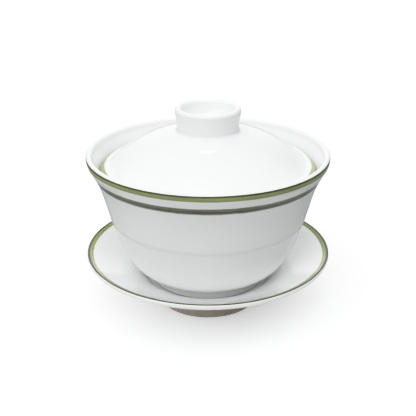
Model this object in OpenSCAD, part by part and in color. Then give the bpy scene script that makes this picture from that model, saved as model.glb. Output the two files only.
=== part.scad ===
// Gaiwan: a lidded tea bowl standing in the well of its saucer.
// Millimetres, +Z up. The origin is on the table, on the axis that all three pieces share.

/* [Saucer] */
// Radius of the saucer over its rim
saucer_r = 54; // [45:0.5:70]
// Height of the saucer's rim above the table
saucer_h = 24.6; // [19:0.2:34]
// Thickness of the saucer's wall and floor
saucer_wall = 3; // [2.4:0.1:4]
// Thickness of the saucer's wall at its rim
saucer_lip = 2.2; // [1.6:0.1:3]
// Radius of the rounding on the upper side of the saucer's rim
saucer_edge = 0.7; // [0.4:0.1:0.9]
// Outer radius of the saucer's foot ring
saucer_foot_r = 22.8; // [16:0.1:27]
// Height of the saucer's foot ring
saucer_foot_h = 8; // [5:0.1:11]
// Depth of the well that holds the bowl's foot
well_depth = 2.9; // [1.5:0.1:4]
// How much wider the well is at its edge than at its floor
well_flare = 2.7; // [1:0.1:5]

/* [Bowl] */
// Radius of the bowl over its rim
bowl_r = 52; // [46:0.5:64]
// Height of the bowl from its foot to its rim
bowl_h = 58.8; // [49:0.2:72]
// Thickness of the bowl's wall
bowl_wall = 2.5; // [1.8:0.1:3.2]
// Thickness of the bowl's floor
bowl_floor = 2.8; // [2:0.1:3.5]
// Outer radius of the bowl's foot ring
bowl_foot_r = 25.8; // [20:0.1:31]
// Height of the bowl's foot ring
bowl_foot_h = 4.1; // [3:0.1:6]
// Radius of the bowl at the fine line round its wall
line_r = 42.7; // [38:0.1:46]
// Height of that line above the bowl's foot
line_h = 29.4; // [24:0.1:36]
// Radius of the rounding that turns the flared wall upright under the rim
rim_round = 6.5; // [3:0.1:10]

/* [Lid] */
// How far the lid's edge sits below the bowl's rim
lid_drop = 8.9; // [6:0.1:13]
// Height of the lid from its edge to the top of the knob
lid_h = 27.8; // [24:0.2:36]
// Thickness of the lid's wall
lid_wall = 2.6; // [2:0.1:3.2]
// Width of the brim outside the dome
brim_w = 4; // [3.4:0.1:7]
// Height of the dome's base above the lid's edge
brim_h = 3.6; // [3.4:0.1:6]
// Radius of the dome's arc
dome_arc_r = 48; // [36:0.5:80]

/* [Knob] */
// Radius of the knob over its lip
knob_r = 14; // [10:0.1:18]
// Height of the knob above the dome
knob_h = 10.1; // [7:0.1:14]
// Thickness of the knob's wall
knob_wall = 3; // [2:0.1:4]
// Depth of the hollow in the knob
knob_depth = 8.4; // [4:0.1:9]
// How much narrower the knob is at its base than at its lip
knob_taper = 0.9; // [0:0.1:2]

/* [Fit] */
// Free space round the bowl's foot in the well
well_gap = 1.2; // [0.5:0.1:3]
// Shortest way from the lid's edge to the bowl's wall
lid_gap = 0.25; // [0.15:0.05:1]

/* [Hidden] */
$fn = 96;
STEPS = 14;         // segments in each curved stretch
EDGE_STEPS = 8;     // segments in each rounded edge

foot_wall = 3;      // width of both foot rings at the top
foot_draft = 0.4;   // how much thinner a foot ring gets, on each side, where it stands
foot_edge = 0.3;    // bevel where a foot ring stands
line_step = 0.3;    // how far the wall stands proud of the belly at the fine line
floor_dish = 1.6;   // how much lower the bowl's inside is at its centre

// How far a curve keeps to the angles at its ends, as a part of its length
even_pull = 0.36;
floor_pull = 0.2;
hollow_pull = 0.55;

// Angles of the outlines from horizontal, measured going outwards and up
saucer_root_a = 20;
saucer_rim_a = 27;
belly_root_a = 16;
wall_a = 74;        // both sides of the fine line
flare_a = 58;
brim_a = 0;
knob_lip_a = 84;

well_floor_r = bowl_foot_r + well_gap;
well_floor_z = saucer_foot_h + saucer_wall;
well_edge = [well_floor_r + well_flare, well_floor_z + well_depth];
bowl_z = well_floor_z;
lid_z = bowl_z + bowl_h - lid_drop;

// ---- outline helpers: a point is [radius, height] and an outline runs anticlockwise ----

function along(a) = [cos(a), sin(a)];
// The point at t on a cubic with the four points p, and its direction there
function cubic(p, t) =
    pow(1 - t, 3) * p[0] + 3 * t * pow(1 - t, 2) * p[1] + 3 * t * t * (1 - t) * p[2] + pow(t, 3) * p[3];
function heading(p, t) =
    let (way = pow(1 - t, 2) * (p[1] - p[0]) + 2 * t * (1 - t) * (p[2] - p[1]) + t * t * (p[3] - p[2]))
    way / norm(way);
// The cubic that leaves a at one angle and reaches b at another
function sweep(a, b, a_angle, b_angle, pull = even_pull) =
    let (reach = pull * norm(b - a))
    [a, a + reach * along(a_angle), b - reach * along(b_angle), b];
function curve(p) = [for (i = [0 : STEPS]) cubic(p, i / STEPS)];
// The same curve moved to its left, by one distance at its start and another at its end
function beside(p, from, to) =
    [for (i = [0 : STEPS]) let (t = i / STEPS, way = heading(p, t))
        cubic(p, t) + (from + (to - from) * t) * [-way[1], way[0]]];
function arc(centre, r, from, to, steps = EDGE_STEPS) =
    [for (i = [0 : steps]) centre + r * along(from + (to - from) * i / steps)];
function reversed(points) = [for (i = [len(points) - 1 : -1 : 0]) points[i]];
function radius_at(points, height) = lookup(height, [for (p = points) [p[1], p[0]]]);
function angle_of(v) = atan2(v[1], v[0]);
// Centre of the arc of radius r that bulges up from its inner end to its outer end
function arc_centre(inner, outer, r) =
    let (half = (outer - inner) / 2)
    inner + half + [half[1], -half[0]] / norm(half) * sqrt(r * r - half * half);

// A foot ring: from the axis out under the floor, down the ring's inside and up its outside
function foot_ring(r, height, under) = [
    [0, under],
    [r - foot_wall, under],
    [r - foot_wall + foot_draft, foot_edge],
    [r - foot_wall + foot_draft + foot_edge, 0],
    [r - foot_draft - foot_edge, 0],
    [r - foot_draft, foot_edge],
    [r, height]
];

module turned(points) rotate_extrude() polygon(points);

// ---- saucer ----

// The rounding under the rim takes up what the upper rounding leaves of the wall's thickness
saucer_under = (saucer_lip - saucer_edge * (1 + sin(saucer_rim_a))) / (1 - sin(saucer_rim_a));
saucer_edge_centre = [saucer_r - saucer_edge, saucer_h - saucer_edge];
saucer_under_centre = [saucer_r - saucer_under, saucer_h - saucer_edge];
saucer_dish = sweep(
    well_edge, saucer_edge_centre + saucer_edge * along(saucer_rim_a + 90), saucer_root_a, saucer_rim_a);
saucer_underside = sweep(
    well_edge + saucer_wall * along(saucer_root_a - 90),
    saucer_under_centre + saucer_under * along(saucer_rim_a - 90), saucer_root_a, saucer_rim_a);

module saucer() {
    color("whitesmoke") turned(concat(
        foot_ring(saucer_foot_r, saucer_foot_h, saucer_foot_h),
        curve(saucer_underside),
        arc(saucer_under_centre, saucer_under, saucer_rim_a - 90, 0),
        arc(saucer_edge_centre, saucer_edge, 0, saucer_rim_a + 90),
        reversed(curve(saucer_dish)),
        [[well_floor_r, well_floor_z], [0, well_floor_z]]
    ));
}

// ---- bowl ----

bowl_lip_r = bowl_wall / 2;
rim_centre = [bowl_r - rim_round, bowl_h - bowl_lip_r];
belly = sweep([bowl_foot_r, bowl_foot_h], [line_r - line_step, line_h], belly_root_a, wall_a);
flare = sweep([line_r, line_h + line_step], rim_centre + rim_round * along(flare_a - 90), wall_a, flare_a);
belly_inside = beside(belly, bowl_wall, bowl_wall - line_step);
flare_inside = beside(flare, bowl_wall, bowl_wall);
bowl_floor_z = belly_inside[0][1] - floor_dish;
floor_inside = sweep([0, bowl_floor_z], belly_inside[0], 0, belly_root_a, floor_pull);

module bowl() {
    color("white") translate([0, 0, bowl_z]) turned(concat(
        foot_ring(bowl_foot_r, bowl_foot_h, bowl_floor_z - bowl_floor),
        curve(belly),
        curve(flare),
        arc(rim_centre, rim_round, flare_a - 90, 0),
        arc([bowl_r - bowl_lip_r, rim_centre[1]], bowl_lip_r, 0, 180),
        reversed(arc(rim_centre, rim_round - bowl_wall, flare_a - 90, 0)),
        reversed(flare_inside),
        reversed(belly_inside),
        reversed(curve(floor_inside))
    ));
}

// ---- lid ----

lid_lip_r = lid_wall / 2;
// Where the middle of the lid's rounded edge can be, at one distance from the bowl's wall
lid_edge_path = beside(flare, bowl_wall + lid_gap + lid_lip_r, bowl_wall + lid_gap + lid_lip_r);
lid_r = radius_at(lid_edge_path, bowl_h - lid_drop + lid_lip_r) + lid_lip_r;
dome_base = [lid_r - brim_w, brim_h];
dome_top = [knob_r - knob_taper, lid_h - knob_h];
dome_centre = arc_centre(dome_top, dome_base, dome_arc_r);
dome_top_a = angle_of(dome_top - dome_centre);
dome_base_a = angle_of(dome_base - dome_centre);
dome_inside = arc(dome_centre, dome_arc_r - lid_wall, dome_top_a, dome_base_a, STEPS);
brim = sweep(dome_base, [lid_r, lid_lip_r], brim_a, -90);
brim_inside = sweep(dome_inside[STEPS], [lid_r - lid_wall, lid_lip_r], brim_a, -90);
knob_lip_r = knob_wall / 2;
knob_side = sweep(dome_top, [knob_r, lid_h - knob_lip_r], 90, knob_lip_a);
knob_hollow = sweep([0, lid_h - knob_depth], [knob_r - knob_wall, lid_h - knob_lip_r], 0, 90, hollow_pull);

module lid() {
    color("white") translate([0, 0, lid_z]) turned(concat(
        [[0, dome_inside[0][1]]],
        dome_inside,
        curve(brim_inside),
        arc([lid_r - lid_lip_r, lid_lip_r], lid_lip_r, 180, 360),
        reversed(curve(brim)),
        arc(dome_centre, dome_arc_r, dome_base_a, dome_top_a, STEPS),
        curve(knob_side),
        arc([knob_r - knob_lip_r, lid_h - knob_lip_r], knob_lip_r, 0, 180),
        reversed(curve(knob_hollow))
    ));
}

saucer();
bowl();
lid();
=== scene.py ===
import math

import bpy
import numpy as np
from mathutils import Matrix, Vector


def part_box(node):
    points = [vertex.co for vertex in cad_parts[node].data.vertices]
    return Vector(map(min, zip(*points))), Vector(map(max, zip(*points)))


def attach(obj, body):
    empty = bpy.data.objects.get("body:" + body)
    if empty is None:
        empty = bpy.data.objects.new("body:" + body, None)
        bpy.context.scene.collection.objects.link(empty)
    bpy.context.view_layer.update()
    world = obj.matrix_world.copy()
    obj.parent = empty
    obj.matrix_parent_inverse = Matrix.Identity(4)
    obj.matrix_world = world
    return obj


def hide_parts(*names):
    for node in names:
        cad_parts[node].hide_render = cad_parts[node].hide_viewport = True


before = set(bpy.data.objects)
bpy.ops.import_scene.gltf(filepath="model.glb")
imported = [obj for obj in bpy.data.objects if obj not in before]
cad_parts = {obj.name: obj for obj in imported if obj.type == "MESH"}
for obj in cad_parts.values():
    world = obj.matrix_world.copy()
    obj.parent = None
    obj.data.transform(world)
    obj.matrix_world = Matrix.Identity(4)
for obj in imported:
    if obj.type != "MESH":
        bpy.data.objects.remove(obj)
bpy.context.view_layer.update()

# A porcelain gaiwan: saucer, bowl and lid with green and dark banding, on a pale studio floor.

MM = 0.001

# ---------------------------------------------------------------- sizes, in mm, as the CAD has them

saucer_low, saucer_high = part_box("saucer")
bowl_low, bowl_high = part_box("bowl")
lid_low, lid_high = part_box("lid")

SAUCER_R = (saucer_high.x - saucer_low.x) / 2 / MM
SAUCER_H = saucer_high.z / MM
SAUCER_WALL = 3.0
SAUCER_LIP = 2.2
SAUCER_EDGE = 0.7
SAUCER_FOOT_R = 22.8
SAUCER_FOOT_H = 8.0
WELL_DEPTH = 2.9
WELL_FLARE = 2.7
WELL_GAP = 1.2

BOWL_Z = bowl_low.z / MM
BOWL_R = (bowl_high.x - bowl_low.x) / 2 / MM
BOWL_H = (bowl_high.z - bowl_low.z) / MM
BOWL_WALL = 2.5
BOWL_FLOOR = 2.8
BOWL_FOOT_R = 25.8
BOWL_FOOT_H = 4.1
LINE_R = 42.7
LINE_H = 29.4
LINE_STEP = 0.3
RIM_ROUND = 6.5
FLOOR_DISH = 1.6

LID_Z = lid_low.z / MM
LID_R = (lid_high.x - lid_low.x) / 2 / MM
LID_H = (lid_high.z - lid_low.z) / MM
LID_WALL = 2.6
BRIM_W = 4.0
BRIM_H = 3.6
DOME_ARC_R = 48.0
KNOB_R = 14.0
KNOB_H = 10.1
KNOB_WALL = 3.0
KNOB_DEPTH = 8.4
KNOB_TAPER = 0.9

FOOT_WALL = 3.0
FOOT_DRAFT = 0.4
FOOT_EDGE = 0.3

# angles of the outlines from horizontal, in degrees
SAUCER_ROOT_A, SAUCER_RIM_A = 20, 27
BELLY_ROOT_A, WALL_A, FLARE_A = 16, 74, 58
KNOB_LIP_A = 84

# how far a curve keeps to the angles at its ends, as a part of its length
EVEN_PULL = 0.36
FLOOR_PULL = 0.2
HOLLOW_PULL = 0.55

# ---------------------------------------------------------------- glaze, clay and paint, in mm

GLAZE_STOP = 0.4        # height of bare clay where a foot ring stands
# the saucer's foot is bare clay up to this height, so it carries the painted shade of the bare material
SAUCER_BARE_AND_SHADE = 6.6       # height of bare clay up the outside of the saucer's foot
GLAZE_THICK = 0.1       # how far bare clay lies inside the surface of the glaze
GLAZE_SOFTENS = 0.28    # how far the glaze rounds a corner
KNOB_FILLET = 1.1       # how far glaze fills the corner round the knob's foot
POOL_REACH = 1.2        # how far glaze runs together round a corner
WHITE = 0.85            # the share of light that porcelain sends back

PAINT_STEPS = 8         # segments across a painted ring
PAINT_SUNK = 0.12       # how far the back of a painted ring lies inside the glaze
PAINT_WOBBLE = 0.07     # how far its edges wander
WOBBLE_WAVES = 13       # the most waves round the ring in that wander
GREEN_PROUD = 0.015     # how far a green band stands out of the glaze
DARK_PROUD = 0.03       # the same for a dark line, which lies over the band

# where each ring of paint starts and ends, along the outline from its widest point; below 0 is under it
SAUCER_RIM_LINE = (0.6, 1.75)
SAUCER_RIM_BAND = (1.55, 3.6)
BOWL_RIM_LINE = (0.18, 1.02)
BOWL_RIM_BAND = (-1.65, 0.25)
BOWL_LOW_BAND = (-8.1, -5.3)
BOWL_LOW_LINE = (-9.3, -7.0)
LID_EDGE_LINE = (-1.1, 0.2)
LID_EDGE_BAND = (-0.1, 3.2)

# ---------------------------------------------------------------- fineness of the meshes, in mm

FINE = 0.05             # spacing of an outline's points while it is worked on
CURVE_STEPS = 40
ARC_STEPS = 24
DOME_STEPS = 60
FILLET_STEPS = 11
RING_SEGMENTS = 240
RING_SPACING = 1.5      # greatest distance between the rings of a lathed piece
RING_TURN_A = 3.0       # greatest turn between them, in degrees

# ---------------------------------------------------------------- studio, in metres

AIM = Vector((0, 0, 0.0426))            # what the camera and the lamps face
CAMERA_SPOT = Vector((0, -0.3102, 0.1751))
CAMERA_LENS_MM = 66.0
CAMERA_SENSOR_MM = 36.0
FLOOR_HALF = 3.0        # half the width of a floor sheet
FLOOR_DROP = 0.00002    # from the set down to the paper, and from there to the felt
PAPER_GLOW = 0.3        # light that the paper gives off by itself
CARD_R = 0.058          # radius of the white card under the set
CARD_WHITE = 0.85
FELT_GREY = 0.24
WALL_LIGHT = 1.9        # brightness of the wall that the camera sees

# azimuth, elevation and strength of each soft light
SOFT_LIGHTS = [
    (0, 66, 4.3),
    (328, 38, 3.2),
    (248, 50, 2.0),
    (106, 54, 1.8),
    (180, 8, 2.2),
]
SOFT_FALL = 9.0         # the power of the cosine by which each of them falls off

SHOULDER = 0.75         # how much light over white the tone curve still tells apart
SHOULDER_BEND = 6       # the higher, the later the curve leaves a straight line
SHOULDER_POINTS = 10

# ---------------------------------------------------------------- outlines, as [radius, height] in mm


def along(angle):
    """The unit vector at an angle in degrees."""
    turn = math.radians(angle)
    return np.array([math.cos(turn), math.sin(turn)])


def sweep(a, b, angle_a, angle_b, pull=EVEN_PULL):
    """The four points of the cubic that leaves a at one angle and reaches b at another."""
    a, b = np.array(a, float), np.array(b, float)
    reach = pull * np.linalg.norm(b - a)
    return a, a + reach * along(angle_a), b - reach * along(angle_b), b


def curve(points, steps=CURVE_STEPS):
    """Points along the cubic that has these four points."""
    p0, p1, p2, p3 = points
    t = np.linspace(0, 1, steps + 1)[:, None]
    return (1 - t) ** 3 * p0 + 3 * t * (1 - t) ** 2 * p1 + 3 * t * t * (1 - t) * p2 + t ** 3 * p3


def beside(points, start, end, steps=CURVE_STEPS):
    """The curve moved to its left by one distance at its start and another at its end."""
    p0, p1, p2, p3 = points
    t = np.linspace(0, 1, steps + 1)[:, None]
    way = (1 - t) ** 2 * (p1 - p0) + 2 * t * (1 - t) * (p2 - p1) + t * t * (p3 - p2)
    way /= np.linalg.norm(way, axis=1)[:, None]
    return curve(points, steps) + (start + (end - start) * t) * np.stack([-way[:, 1], way[:, 0]], 1)


def arc(centre, radius, start, end, steps=ARC_STEPS):
    return np.array([centre + radius * along(a) for a in np.linspace(start, end, steps + 1)])


def foot_radius(radius, height, at):
    """The radius of the outside of a foot ring at a height above where it stands."""
    return radius - FOOT_DRAFT * (1 - at / height)


def glazed_foot(radius, height, under, stop):
    """From the axis out under the floor and round the foot ring, bare at its end and outside up to stop."""
    inner = radius - FOOT_WALL
    core = radius - FOOT_WALL / 2
    return np.array([
        [0, under],
        [inner, under],
        [inner + FOOT_DRAFT, GLAZE_STOP],
        [core, GLAZE_STOP],
        [core, stop],
        [foot_radius(radius, height, stop), stop],
        [radius, height],
    ])


def saucer_outline():
    sine = math.sin(math.radians(SAUCER_RIM_A))
    # the rounding under the rim takes up what the upper one leaves of the wall's thickness
    under = (SAUCER_LIP - SAUCER_EDGE * (1 + sine)) / (1 - sine)
    rim = np.array([SAUCER_R, SAUCER_H - SAUCER_EDGE])
    edge_centre = rim - [SAUCER_EDGE, 0]
    under_centre = rim - [under, 0]
    floor_z = SAUCER_FOOT_H + SAUCER_WALL
    floor_r = BOWL_FOOT_R + WELL_GAP
    well_edge = np.array([floor_r + WELL_FLARE, floor_z + WELL_DEPTH])
    dish_end = edge_centre + SAUCER_EDGE * along(SAUCER_RIM_A + 90)
    underside_start = well_edge + SAUCER_WALL * along(SAUCER_ROOT_A - 90)
    underside_end = under_centre + under * along(SAUCER_RIM_A - 90)
    return [
        glazed_foot(SAUCER_FOOT_R, SAUCER_FOOT_H, SAUCER_FOOT_H, SAUCER_BARE_AND_SHADE),
        curve(sweep(underside_start, underside_end, SAUCER_ROOT_A, SAUCER_RIM_A)),
        arc(under_centre, under, SAUCER_RIM_A - 90, 0),
        arc(edge_centre, SAUCER_EDGE, 0, SAUCER_RIM_A + 90),
        curve(sweep(well_edge, dish_end, SAUCER_ROOT_A, SAUCER_RIM_A))[::-1],
        np.array([[floor_r, floor_z], [0, floor_z]]),
    ]


def bowl_outline():
    lip = BOWL_WALL / 2
    rim_centre = np.array([BOWL_R - RIM_ROUND, BOWL_H - lip])
    belly = sweep([BOWL_FOOT_R, BOWL_FOOT_H], [LINE_R - LINE_STEP, LINE_H], BELLY_ROOT_A, WALL_A)
    flare = sweep(
        [LINE_R, LINE_H + LINE_STEP], rim_centre + RIM_ROUND * along(FLARE_A - 90), WALL_A, FLARE_A)
    belly_inside = beside(belly, BOWL_WALL, BOWL_WALL - LINE_STEP)
    floor_z = belly_inside[0][1] - FLOOR_DISH
    floor = sweep([0, floor_z], belly_inside[0], 0, BELLY_ROOT_A, FLOOR_PULL)
    return [
        glazed_foot(BOWL_FOOT_R, BOWL_FOOT_H, floor_z - BOWL_FLOOR, GLAZE_STOP),
        curve(belly),
        curve(flare),
        arc(rim_centre, RIM_ROUND, FLARE_A - 90, 0),
        arc(np.array([BOWL_R - lip, rim_centre[1]]), lip, 0, 180),
        arc(rim_centre, RIM_ROUND - BOWL_WALL, FLARE_A - 90, 0)[::-1],
        beside(flare, BOWL_WALL, BOWL_WALL)[::-1],
        belly_inside[::-1],
        curve(floor)[::-1],
    ]


def lid_outline():
    lip = LID_WALL / 2
    base = np.array([LID_R - BRIM_W, BRIM_H])
    top = np.array([KNOB_R - KNOB_TAPER, LID_H - KNOB_H])
    # the centre of the arc that bulges up from the knob's foot to the brim
    half = (base - top) / 2
    side = np.array([half[1], -half[0]]) / np.linalg.norm(half)
    centre = top + half + side * math.sqrt(DOME_ARC_R ** 2 - half @ half)
    top_a = math.degrees(math.atan2(*(top - centre)[::-1]))
    base_a = math.degrees(math.atan2(*(base - centre)[::-1]))
    inside = arc(centre, DOME_ARC_R - LID_WALL, top_a, base_a, DOME_STEPS)
    dome = arc(centre, DOME_ARC_R, base_a, top_a, DOME_STEPS)
    knob_lip = KNOB_WALL / 2
    hollow_rim = [KNOB_R - KNOB_WALL, LID_H - knob_lip]
    knob_side = curve(sweep(top, [KNOB_R, LID_H - knob_lip], 90, KNOB_LIP_A))
    return [
        np.array([[0, inside[0][1]]]),
        inside,
        curve(sweep(inside[-1], [LID_R - LID_WALL, lip], 0, -90)),
        arc(np.array([LID_R - lip, lip]), lip, 180, 360),
        curve(sweep(base, [LID_R, lip], 0, -90))[::-1],
        filleted(dome, knob_side, KNOB_FILLET),
        arc(np.array([KNOB_R - knob_lip, LID_H - knob_lip]), knob_lip, 0, 180),
        curve(sweep([0, LID_H - KNOB_DEPTH], hollow_rim, 0, 90, HOLLOW_PULL))[::-1],
    ]


def filleted(first, second, reach):
    """Two stretches as one, the corner between them filled from reach before it to reach after it."""
    corner = first[-1]
    before = first[np.linalg.norm(first - corner, axis=1) > reach]
    after = second[np.linalg.norm(second - corner, axis=1) > reach]
    t = np.linspace(0, 1, FILLET_STEPS + 1)[1:-1, None]
    bend = (1 - t) ** 2 * before[-1] + 2 * t * (1 - t) * corner + t * t * after[0]
    return np.vstack([before, bend, after])


def even(points, step):
    """The same path with points an even distance apart."""
    gaps = np.linalg.norm(np.diff(points, axis=0), axis=1)
    points = points[np.r_[True, gaps > 1e-6]]
    run = run_along(points)
    at = np.linspace(0, run[-1], max(2, int(round(run[-1] / step))) + 1)
    return np.stack([np.interp(at, run, points[:, 0]), np.interp(at, run, points[:, 1])], 1)


def run_along(points):
    """How far along the path each of its points is."""
    return np.r_[0, np.cumsum(np.linalg.norm(np.diff(points, axis=0), axis=1))]


def softened(stretches):
    """One path through all the stretches, its corners rounded as glaze rounds them."""
    path = even(np.vstack(stretches), FINE)
    reach = int(4 * GLAZE_SOFTENS / FINE)
    weights = np.exp(-0.5 * (np.arange(-reach, reach + 1) * FINE / GLAZE_SOFTENS) ** 2)
    weights /= weights.sum()
    past_axis = np.array([-1, 1])
    longer = np.vstack([path[1:reach + 1][::-1] * past_axis, path, path[-reach - 1:-1][::-1] * past_axis])
    soft = np.stack([np.convolve(longer[:, k], weights, "valid") for k in (0, 1)], 1)
    soft[[0, -1], 0] = 0
    return even(soft, FINE)


def outward(path):
    """The unit vectors that point out of the solid, at each point of a path."""
    way = np.gradient(path, axis=0)
    way /= np.linalg.norm(way, axis=1)[:, None]
    return np.stack([way[:, 1], -way[:, 0]], 1)


def hollowness(path):
    """How much the surface curves in at each point, from -1 on a sharp edge to 1 in a sharp corner."""
    out = outward(path)
    turn = np.gradient(np.unwrap(np.arctan2(out[:, 1], out[:, 0]))) / FINE
    wide = int(POOL_REACH / FINE)
    box = np.ones(2 * wide + 1) / (2 * wide + 1)
    smooth = np.convolve(np.pad(-turn, wide, "edge"), box, "valid")
    return np.tanh(smooth * POOL_REACH)


def kept_rings(path):
    """The points of a fine path that a lathe needs: more where it turns, few where it is straight."""
    out = outward(path)
    kept = [0]
    for i in range(1, len(path) - 1):
        far = np.linalg.norm(path[i] - path[kept[-1]]) > RING_SPACING
        turned = out[i] @ out[kept[-1]] < math.cos(math.radians(RING_TURN_A))
        if far or turned:
            kept.append(i)
    return np.array(kept + [len(path) - 1])


# ---------------------------------------------------------------- meshes


def around(radii, heights):
    """The points of rings about the axis, in metres; each argument has one row per ring."""
    angles = np.linspace(0, 2 * math.pi, RING_SEGMENTS, endpoint=False)
    radii = np.broadcast_to(radii, (len(radii), RING_SEGMENTS))
    heights = np.broadcast_to(heights, (len(heights), RING_SEGMENTS))
    return np.stack([radii * np.cos(angles), radii * np.sin(angles), heights], -1).reshape(-1, 3) * MM


def ring_quads(first, count, closed):
    """Quads between count rings, and back from the last to the first if closed."""
    quads = []
    for ring in range(count if closed else count - 1):
        low = first + ring * RING_SEGMENTS
        high = first + (ring + 1) % count * RING_SEGMENTS
        for i in range(RING_SEGMENTS):
            j = (i + 1) % RING_SEGMENTS
            quads.append((low + i, low + j, high + j, high + i))
    return quads


def mesh_piece(name, points, faces, material):
    mesh = bpy.data.meshes.new(name)
    mesh.from_pydata([tuple(p) for p in points], [], faces)
    mesh.validate()
    mesh.polygons.foreach_set("use_smooth", [True] * len(mesh.polygons))
    mesh.materials.append(material)
    piece = bpy.data.objects.new(name, mesh)
    bpy.context.collection.objects.link(piece)
    return piece


def store(piece, name, values):
    """A number for each point of the mesh, for its material to read."""
    attribute = piece.data.attributes.new(name, "FLOAT", "POINT")
    attribute.data.foreach_set("value", np.asarray(values, np.float32))


def lathed(name, path, lift, material):
    """A closed solid turned from a fine path that starts and ends on the axis."""
    kept = kept_rings(path)
    radii, heights = path[kept].T
    body = around(radii[1:-1, None], heights[1:-1, None] + lift)
    ends = np.array([[0, 0, heights[0] + lift], [0, 0, heights[-1] + lift]]) * MM
    points = np.vstack([body, ends])
    bottom, top = len(body), len(body) + 1
    last = len(body) - RING_SEGMENTS
    faces = ring_quads(0, len(kept) - 2, False)
    for i in range(RING_SEGMENTS):
        j = (i + 1) % RING_SEGMENTS
        faces.append((bottom, j, i))
        faces.append((top, last + i, last + j))
    piece = mesh_piece(name, points, faces, material)
    hollow = hollowness(path)[kept]
    store(piece, "hollow", np.r_[np.repeat(hollow[1:-1], RING_SEGMENTS), hollow[0], hollow[-1]])
    return piece


def wobble(amount, seed):
    """A gentle wander with the angle round the axis, as a hand-held brush leaves on a turning piece."""
    chance = np.random.default_rng(seed)
    angles = np.linspace(0, 2 * math.pi, RING_SEGMENTS, endpoint=False)
    total = np.zeros(RING_SEGMENTS)
    for waves in range(1, WOBBLE_WAVES + 1):
        total += chance.normal() / waves ** 0.7 * np.cos(waves * angles + chance.uniform(0, 2 * math.pi))
    return amount * total / np.abs(total).max()


def painted_ring(name, path, lift, edges, proud, seed, material):
    """A closed, paper-thin ring of paint that follows a surface between two places along its path."""
    run = run_along(path)
    out = outward(path)
    widest = int(np.argmax(path[:, 0]))
    start = run[widest] + edges[0] + wobble(PAINT_WOBBLE, seed)
    end = run[widest] + edges[1] + wobble(PAINT_WOBBLE, seed + 1)
    share = np.linspace(0, 1, PAINT_STEPS + 1)
    rows = [(s, proud) for s in share] + [(1, -PAINT_SUNK), (0.5, -PAINT_SUNK), (0, -PAINT_SUNK)]
    radii, heights = [], []
    for across, offset in rows:
        at = start + across * (end - start)
        normal = np.stack([np.interp(at, run, out[:, k]) for k in (0, 1)])
        radii.append(np.interp(at, run, path[:, 0]) + offset * normal[0])
        heights.append(np.interp(at, run, path[:, 1]) + offset * normal[1] + lift)
    points = around(np.array(radii), np.array(heights))
    piece = mesh_piece(name, points, ring_quads(0, len(rows), True), material)
    store(piece, "across", np.repeat([across for across, _ in rows], RING_SEGMENTS))
    # the paint's two borders stay crisp
    corners = {0, PAINT_STEPS}
    for edge in piece.data.edges:
        rings = {v // RING_SEGMENTS for v in edge.vertices}
        if len(rings) == 1 and rings <= corners:
            edge.use_edge_sharp = True
    return piece


def bare_foot(name, radius, height, stop, lift, material):
    """The closed ring of unglazed clay that a foot stands on, which reaches up into the glazed foot."""
    inner = radius - FOOT_WALL + FOOT_DRAFT + GLAZE_THICK
    outer = foot_radius(radius, height, FOOT_EDGE) - GLAZE_THICK
    outer_top = foot_radius(radius, height, stop) - GLAZE_THICK
    over = GLAZE_THICK * 3
    edge = FOOT_EDGE
    corner = edge * (1 - math.sqrt(0.5))
    section = np.array([
        [inner, GLAZE_STOP + over],
        [inner, edge],
        [inner + corner, corner],
        [inner + edge, 0],
        [(inner + outer) / 2, 0],
        [outer - edge, 0],
        [outer - corner, corner],
        [outer, edge],
        [(outer + outer_top) / 2, (edge + stop) / 2],
        [outer_top, stop + over],
        [radius - FOOT_WALL / 2 - over, stop + over],
        [radius - FOOT_WALL / 2 - over, GLAZE_STOP + over],
    ])
    # where the glaze stops at one height all over, two of the points are one
    section = section[np.r_[True, np.abs(np.diff(section, axis=0)).max(1) > 1e-6]]
    points = around(section[:, :1], section[:, 1:] + lift)
    return mesh_piece(name, points, ring_quads(0, len(section), True), material)


# ---------------------------------------------------------------- materials


def new_material(name):
    material = bpy.data.materials.new(name)
    material.use_nodes = True
    tree = material.node_tree
    return material, tree, tree.nodes["Principled BSDF"]


def node(tree, kind, inputs=None, **settings):
    """A node with its settings, and its inputs set to numbers or joined to other nodes' outputs."""
    made = tree.nodes.new(kind)
    for key, value in settings.items():
        setattr(made, key, value)
    for key, value in (inputs or {}).items():
        if isinstance(value, bpy.types.NodeSocket):
            tree.links.new(value, made.inputs[key])
        else:
            made.inputs[key].default_value = value
    return made


def place(tree):
    """Where a point is on the object, in metres."""
    return node(tree, "ShaderNodeTexCoord").outputs["Object"]


def turned_place(tree):
    """A point's distance from the axis and its height, so that a pattern runs in rings."""
    split = node(tree, "ShaderNodeSeparateXYZ", {"Vector": place(tree)})
    flat = node(tree, "ShaderNodeCombineXYZ", {"X": split.outputs["X"], "Y": split.outputs["Y"]})
    radius = node(tree, "ShaderNodeVectorMath", {0: flat.outputs[0]}, operation="LENGTH")
    ring = node(tree, "ShaderNodeCombineXYZ", {"X": radius.outputs["Value"], "Z": split.outputs["Z"]})
    return ring.outputs[0], radius.outputs["Value"], split.outputs["Z"]


def noise(tree, vector, size, detail=3.0, roughness=0.55):
    """Soft noise whose blotches are about size metres across, from 0 to 1."""
    made = node(tree, "ShaderNodeTexNoise", {
        "Vector": vector, "Scale": 1 / size, "Detail": detail, "Roughness": roughness})
    return made.outputs["Fac"]


def ramp(tree, value, low, high, to_low=0.0, to_high=1.0):
    """The value carried smoothly from one range to another."""
    made = node(tree, "ShaderNodeMapRange", {
        "Value": value, "From Min": low, "From Max": high, "To Min": to_low, "To Max": to_high},
        interpolation_type="SMOOTHSTEP")
    return made.outputs["Result"]


def maths(tree, operation, first, second):
    return node(tree, "ShaderNodeMath", {0: first, 1: second}, operation=operation).outputs[0]


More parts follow.
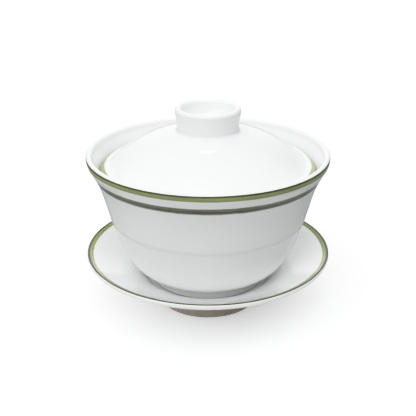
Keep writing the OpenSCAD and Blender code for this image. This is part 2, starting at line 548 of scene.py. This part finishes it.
def blend(tree, share, first, second):
    """Two colours mixed, each a colour or another node's output."""
    made = node(tree, "ShaderNodeMix", data_type="RGBA")
    for socket, value in ((made.inputs[0], share), (made.inputs[6], first), (made.inputs[7], second)):
        if isinstance(value, bpy.types.NodeSocket):
            tree.links.new(value, socket)
        else:
            socket.default_value = value
    return made.outputs[2]


def bump(tree, height, depth, under=None):
    """A bump whose height runs over depth metres, on top of another bump."""
    inputs = {"Height": height, "Distance": depth, "Strength": 1.0}
    if under:
        inputs["Normal"] = under
    return node(tree, "ShaderNodeBump", inputs).outputs["Normal"]


def grey(level, tint=(1, 1, 1)):
    return (level * tint[0], level * tint[1], level * tint[2], 1)


def glaze_colour(tree):
    """Porcelain through clear glaze: white, cooler where it pools, warmer on thin edges, a few specks."""
    where = place(tree)
    cloud = ramp(tree, noise(tree, where, 0.022), 0.3, 0.7)
    white = blend(tree, cloud, grey(WHITE * 0.985, (0.99, 1, 1)), grey(WHITE, (1, 1, 0.995)))
    hollow = node(tree, "ShaderNodeAttribute", attribute_name="hollow").outputs["Fac"]
    pooled = blend(tree, ramp(tree, hollow, 0.1, 0.95, 0, 0.75), white, grey(WHITE * 0.93, (0.95, 1, 0.99)))
    thin = blend(tree, ramp(tree, hollow, -0.3, -0.95, 0, 0.5), pooled, grey(WHITE, (1, 0.99, 0.965)))
    # cells about 12.5 mm across, each with one speck where its own point comes near the surface
    cell = node(tree, "ShaderNodeTexVoronoi", {"Vector": where, "Scale": 80.0})
    speck = ramp(tree, cell.outputs["Distance"], 0.012, 0.022, 0.55, 0)
    return blend(tree, speck, thin, (0.30, 0.22, 0.15, 1))


def glaze_surface(tree, shader, gloss=0.5):
    """Gloss with faint handling marks, and a surface that ripples a little, as fired glaze does."""
    where = place(tree)
    ring, _, _ = turned_place(tree)
    marks = ramp(tree, noise(tree, where, 0.014, 5.0, 0.6), 0.45, 0.75, 0, 0.09)
    fine = ramp(tree, noise(tree, where, 0.0009, 2.0), 0.3, 0.7, 0.07, 0.10)
    tree.links.new(maths(tree, "ADD", marks, fine), shader.inputs["Roughness"])
    ripple = bump(tree, noise(tree, where, 0.011, 1.0), 0.00014)
    turning = bump(tree, noise(tree, ring, 0.0016, 2.0), 0.000010, ripple)
    peel = bump(tree, noise(tree, where, 0.0013, 1.0), 0.000008, turning)
    tree.links.new(peel, shader.inputs["Normal"])
    shader.inputs["Specular IOR Level"].default_value = gloss
    shader.inputs["IOR"].default_value = 1.5


def let_light_through(shader):
    """The little light that porcelain lets in and spreads."""
    shader.inputs["Subsurface Weight"].default_value = 0.08
    shader.inputs["Subsurface Radius"].default_value = (1.0, 0.9, 0.75)
    shader.inputs["Subsurface Scale"].default_value = 0.0015


def porcelain_material():
    """The glazed white of the bowl and the lid."""
    material, tree, shader = new_material("porcelain")
    tree.links.new(glaze_colour(tree), shader.inputs["Base Color"])
    glaze_surface(tree, shader)
    let_light_through(shader)
    return material


def well_wear(tree, colour):
    """Fine grey rings that a bowl's bare foot rubs into the floor of the saucer's well."""
    ring, radius, height = turned_place(tree)
    lines = ramp(tree, noise(tree, ring, 0.00035, 3.0, 0.7), 0.55, 0.72)
    patchy = ramp(tree, noise(tree, place(tree), 0.008, 2.0), 0.4, 0.65)
    inner = BOWL_FOOT_R - FOOT_WALL
    inside = ramp(tree, radius, (inner - 0.6) * MM, (inner + 0.4) * MM)
    outside = ramp(tree, radius, (BOWL_FOOT_R + 0.4) * MM, (BOWL_FOOT_R - 0.6) * MM)
    level = ramp(tree, height, (BOWL_Z + 0.6) * MM, (BOWL_Z + 0.2) * MM)
    above = ramp(tree, height, (BOWL_Z - 1.0) * MM, (BOWL_Z - 0.5) * MM)
    rubbed = maths(tree, "MULTIPLY", lines, patchy)
    under_foot = maths(tree, "MULTIPLY", inside, outside)
    on_floor = maths(tree, "MULTIPLY", level, above)
    share = maths(tree, "MULTIPLY", maths(tree, "MULTIPLY", rubbed, under_foot), on_floor)
    return blend(tree, maths(tree, "MULTIPLY", share, 0.45), colour, (0.38, 0.36, 0.33, 1))


def saucer_material():
    """The same glazed white, with the well worn by the bowl."""
    material, tree, shader = new_material("porcelain_saucer")
    tree.links.new(well_wear(tree, glaze_colour(tree)), shader.inputs["Base Color"])
    glaze_surface(tree, shader)
    let_light_through(shader)
    return material


def bare_and_shade_material():
    """Unglazed porcelain ground flat: matt, finely grained, a little grimy where it stands; its dark warm
    grey-brown is painted shade, for the shade under the saucer and round the bowl's foot.
    """
    material, tree, shader = new_material("bare_porcelain")
    where = place(tree)
    grain = noise(tree, where, 0.0004, 4.0, 0.7)
    # painted shade: the bare clay is coloured as dark as the shade on the feet, not the white of bare
    # porcelain
    clay_and_shade = blend(tree, ramp(tree, grain, 0.3, 0.7), (0.35, 0.31, 0.265, 1), (0.45, 0.405, 0.35, 1))
    grime = ramp(tree, noise(tree, where, 0.004, 4.0, 0.65), 0.45, 0.75, 0, 0.5)
    tree.links.new(blend(tree, grime, clay_and_shade, (0.27, 0.225, 0.18, 1)), shader.inputs["Base Color"])
    tree.links.new(ramp(tree, grain, 0.2, 0.8, 0.65, 0.9), shader.inputs["Roughness"])
    tree.links.new(bump(tree, grain, 0.00004), shader.inputs["Normal"])
    return material


def paint_material(name, pale, deep, edge, fades):
    """Paint under glaze: streaked along the brush, deeper in places, thinning to the white at its edges.

    The two fades are the shares of its width over which the start and the end thin out.
    """
    material, tree, shader = new_material(name)
    where = place(tree)
    across = node(tree, "ShaderNodeAttribute", attribute_name="across").outputs["Fac"]
    split = node(tree, "ShaderNodeSeparateXYZ", {"Vector": where})
    brush = node(tree, "ShaderNodeCombineXYZ", {
        "X": maths(tree, "MULTIPLY", split.outputs["X"], 0.12),
        "Y": maths(tree, "MULTIPLY", split.outputs["Y"], 0.12),
        "Z": maths(tree, "MULTIPLY", across, 0.0022)})
    streak = noise(tree, brush.outputs[0], 0.0006, 4.0, 0.6)
    depth = ramp(tree, streak, 0.25, 0.75)
    load = ramp(tree, noise(tree, where, 0.016, 3.0), 0.3, 0.7, -0.18, 0.18)
    colour = blend(tree, maths(tree, "ADD", depth, load), pale, deep)
    near_start = ramp(tree, across, 0.0, fades[0], 1, 0) if fades[0] else 0.0
    near_end = ramp(tree, across, 1 - fades[1], 1.0, 0, 1) if fades[1] else 0.0
    thin = maths(tree, "MAXIMUM", near_start, near_end)
    rough_edge = maths(tree, "MULTIPLY", thin, ramp(tree, streak, 0.2, 0.8, 0.75, 1.15))
    rimmed = blend(tree, ramp(tree, rough_edge, 0.1, 0.6), colour, edge)
    faded = blend(tree, ramp(tree, rough_edge, 0.45, 1.0), rimmed, glaze_colour(tree))
    tree.links.new(faded, shader.inputs["Base Color"])
    glaze_surface(tree, shader, 0.35)
    return material


def paper_material():
    """Matt white paper, a little cloudy, with a faint light of its own that lifts its shadows."""
    material, tree, shader = new_material("studio_paper")
    tone = ramp(tree, noise(tree, place(tree), 0.15, 3.0), 0.3, 0.7)
    tree.links.new(blend(tree, tone, grey(0.97, (1, 0.99, 0.97)), grey(0.97)), shader.inputs["Base Color"])
    tooth = ramp(tree, noise(tree, place(tree), 0.02, 2.0), 0.3, 0.7, 0.8, 0.95)
    tree.links.new(tooth, shader.inputs["Roughness"])
    shader.inputs["Specular IOR Level"].default_value = 0.1
    shader.inputs["Emission Color"].default_value = (1, 1, 1, 1)
    shader.inputs["Emission Strength"].default_value = PAPER_GLOW
    return material


def felt_material():
    """A white card under the set, which gives way to dark felt further out."""
    material, tree, shader = new_material("studio_felt")
    _, radius, _ = turned_place(tree)
    far = ramp(tree, radius, CARD_R, CARD_R * 1.7)
    tree.links.new(blend(tree, far, grey(CARD_WHITE), grey(FELT_GREY)), shader.inputs["Base Color"])
    shader.inputs["Roughness"].default_value = 0.9
    shader.inputs["Specular IOR Level"].default_value = 0.1
    return material


# ---------------------------------------------------------------- pieces


def belongs(piece, body):
    """Ties a piece to the body that it moves with."""
    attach(piece, body)


def make_saucer(paints):
    path = softened(saucer_outline())
    piece = lathed("saucer_glazed", path, 0, saucer_material())
    belongs(piece, "saucer")
    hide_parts("saucer")
    # the bare foot ring's dark colour is painted shade
    foot = bare_foot("saucer_bare_foot", SAUCER_FOOT_R, SAUCER_FOOT_H, SAUCER_BARE_AND_SHADE, 0, paints["bare"])
    belongs(foot, "saucer")
    line = painted_ring("saucer_rim_line", path, 0, SAUCER_RIM_LINE, DARK_PROUD, 11, paints["dark"])
    belongs(line, "saucer")
    band = painted_ring("saucer_rim_band", path, 0, SAUCER_RIM_BAND, GREEN_PROUD, 13, paints["green"])
    belongs(band, "saucer")


def make_bowl(paints):
    path = softened(bowl_outline())
    piece = lathed("bowl_glazed", path, BOWL_Z, paints["porcelain"])
    belongs(piece, "bowl")
    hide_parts("bowl")
    # the bare foot ring's dark colour is painted shade
    foot = bare_foot("bowl_bare_foot", BOWL_FOOT_R, BOWL_FOOT_H, GLAZE_STOP, BOWL_Z, paints["bare"])
    belongs(foot, "bowl")
    line = painted_ring("bowl_rim_line", path, BOWL_Z, BOWL_RIM_LINE, DARK_PROUD, 21, paints["dark_down"])
    belongs(line, "bowl")
    band = painted_ring("bowl_rim_band", path, BOWL_Z, BOWL_RIM_BAND, GREEN_PROUD, 23, paints["green_down"])
    belongs(band, "bowl")
    low_band = painted_ring("bowl_low_band", path, BOWL_Z, BOWL_LOW_BAND, GREEN_PROUD, 25, paints["olive"])
    belongs(low_band, "bowl")
    low_line = painted_ring("bowl_low_line", path, BOWL_Z, BOWL_LOW_LINE, DARK_PROUD, 27, paints["dark_soft"])
    belongs(low_line, "bowl")


def make_lid(paints):
    path = softened(lid_outline())
    piece = lathed("lid_glazed", path, LID_Z, paints["porcelain"])
    belongs(piece, "lid")
    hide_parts("lid")
    line = painted_ring("lid_edge_line", path, LID_Z, LID_EDGE_LINE, DARK_PROUD, 31, paints["dark"])
    belongs(line, "lid")
    band = painted_ring("lid_edge_band", path, LID_Z, LID_EDGE_BAND, GREEN_PROUD, 33, paints["green"])
    belongs(band, "lid")


def all_paints():
    """Every material that pieces share, by name."""
    pale_green = (0.285, 0.32, 0.125, 1)
    deep_green = (0.20, 0.23, 0.08, 1)
    edge_green = (0.35, 0.38, 0.17, 1)
    pale_olive = (0.14, 0.15, 0.075, 1)
    deep_olive = (0.085, 0.093, 0.045, 1)
    edge_olive = (0.24, 0.26, 0.14, 1)
    pale_dark = (0.08, 0.083, 0.045, 1)
    deep_dark = (0.04, 0.043, 0.022, 1)
    edge_dark = (0.16, 0.15, 0.08, 1)
    brown_edge = (0.30, 0.27, 0.19, 1)
    return {
        "porcelain": porcelain_material(),
        # bare clay on the feet, painted dark as their shade
        "bare": bare_and_shade_material(),
        "green": paint_material("green_band", pale_green, deep_green, edge_green, (0.08, 0.25)),
        "green_down": paint_material("green_band_down", pale_green, deep_green, edge_green, (0.22, 0.08)),
        "dark": paint_material("dark_line", pale_dark, deep_dark, edge_dark, (0.14, 0)),
        "dark_down": paint_material("dark_line_down", pale_dark, deep_dark, edge_dark, (0, 0.14)),
        "olive": paint_material("olive_band", pale_olive, deep_olive, edge_olive, (0.1, 0.25)),
        "dark_soft": paint_material("dark_line_soft", pale_dark, deep_dark, brown_edge, (0.62, 0)),
    }


# ---------------------------------------------------------------- stage, light and camera


def make_sheet(name, drop, material):
    """A wide flat sheet that the set stands on."""
    mesh = bpy.data.meshes.new(name)
    half = FLOOR_HALF
    corners = [(-half, -half, 0), (half, -half, 0), (half, half, 0), (-half, half, 0)]
    mesh.from_pydata(corners, [], [(0, 1, 2, 3)])
    mesh.materials.append(material)
    sheet = bpy.data.objects.new(name, mesh)
    sheet.location.z = -drop
    bpy.context.collection.objects.link(sheet)
    return sheet


def make_floor():
    """White paper that is seen, and a sheet just under it that gives the set its reflected light."""
    seen = make_sheet("floor", FLOOR_DROP, paper_material())
    seen.visible_diffuse = False
    seen.visible_glossy = False
    seen.visible_shadow = False
    felt = make_sheet("floor_felt", FLOOR_DROP * 2, felt_material())
    felt.visible_camera = False


def way_to(azimuth, elevation):
    """The direction of a light: 0 degrees is the camera's side and 90 is the right."""
    a, e = math.radians(azimuth), math.radians(elevation)
    return (math.sin(a) * math.cos(e), -math.cos(a) * math.cos(e), math.sin(e))


def make_sky():
    """Wide soft lights round the set, and an even pale wall in their place for the camera to see."""
    world = bpy.data.worlds.new("studio")
    world.use_nodes = True
    bpy.context.scene.world = world
    tree = world.node_tree
    toward = node(tree, "ShaderNodeTexCoord").outputs["Generated"]
    up = node(tree, "ShaderNodeSeparateXYZ", {"Vector": toward}).outputs["Z"]
    total = 0.0
    for azimuth, elevation, strength in SOFT_LIGHTS:
        ways = {0: toward, 1: way_to(azimuth, elevation)}
        cosine = node(tree, "ShaderNodeVectorMath", ways, operation="DOT_PRODUCT").outputs["Value"]
        glow = maths(tree, "POWER", maths(tree, "MAXIMUM", cosine, 0.0), SOFT_FALL)
        total = maths(tree, "ADD", total, maths(tree, "MULTIPLY", glow, strength))
    lit = maths(tree, "MULTIPLY", total, ramp(tree, up, -0.03, 0.03))
    seen = node(tree, "ShaderNodeLightPath").outputs["Is Camera Ray"]
    wall = node(tree, "ShaderNodeMix", {0: seen, 2: lit, 3: WALL_LIGHT})
    tint = blend(tree, ramp(tree, up, 0.0, 0.9), (1.0, 0.985, 0.96, 1), (0.955, 0.985, 1.0, 1))
    background = tree.nodes["Background"]
    tree.links.new(tint, background.inputs["Color"])
    tree.links.new(wall.outputs[0], background.inputs["Strength"])


def soften_highlights():
    """A film-like shoulder: tones over the middle are eased in below white, not cut off."""
    view = bpy.context.scene.view_settings
    view.view_transform = "Standard"
    view.use_curve_mapping = True
    mapping = view.curve_mapping
    mapping.white_level = (1 + SHOULDER,) * 3
    combined = mapping.curves[3]
    for step in range(1, SHOULDER_POINTS):
        shown = step / SHOULDER_POINTS
        combined.points.new(shown * (1 + SHOULDER * shown ** SHOULDER_BEND) / (1 + SHOULDER), shown)
    mapping.update()


def make_lamp(name, spot, size, power):
    """A soft round lamp that faces the middle of the set."""
    lamp = bpy.data.lights.new(name, "AREA")
    lamp.shape = "DISK"
    lamp.size = size
    lamp.energy = power
    holder = bpy.data.objects.new(name, lamp)
    holder.location = spot
    holder.rotation_euler = (AIM - Vector(spot)).to_track_quat("-Z", "Y").to_euler()
    bpy.context.collection.objects.link(holder)


def make_camera():
    """A camera in front of the set and a little above it."""
    camera = bpy.data.cameras.new("camera")
    camera.lens = CAMERA_LENS_MM
    camera.sensor_width = CAMERA_SENSOR_MM
    camera.clip_start = 0.01
    camera.clip_end = 20
    holder = bpy.data.objects.new("camera", camera)
    holder.location = CAMERA_SPOT
    holder.rotation_euler = (AIM - CAMERA_SPOT).to_track_quat("-Z", "Y").to_euler()
    bpy.context.collection.objects.link(holder)
    bpy.context.scene.camera = holder


# ---------------------------------------------------------------- the scene

make_camera()
paints = all_paints()
make_saucer(paints)
make_bowl(paints)
make_lid(paints)
make_floor()
make_sky()
make_lamp("top_lamp", (0.0, 0.50, 0.75), size=0.13, power=0.4)
make_lamp("front_lamp", (-0.02, -0.32, 0.75), size=0.1, power=0.12)
soften_highlights()
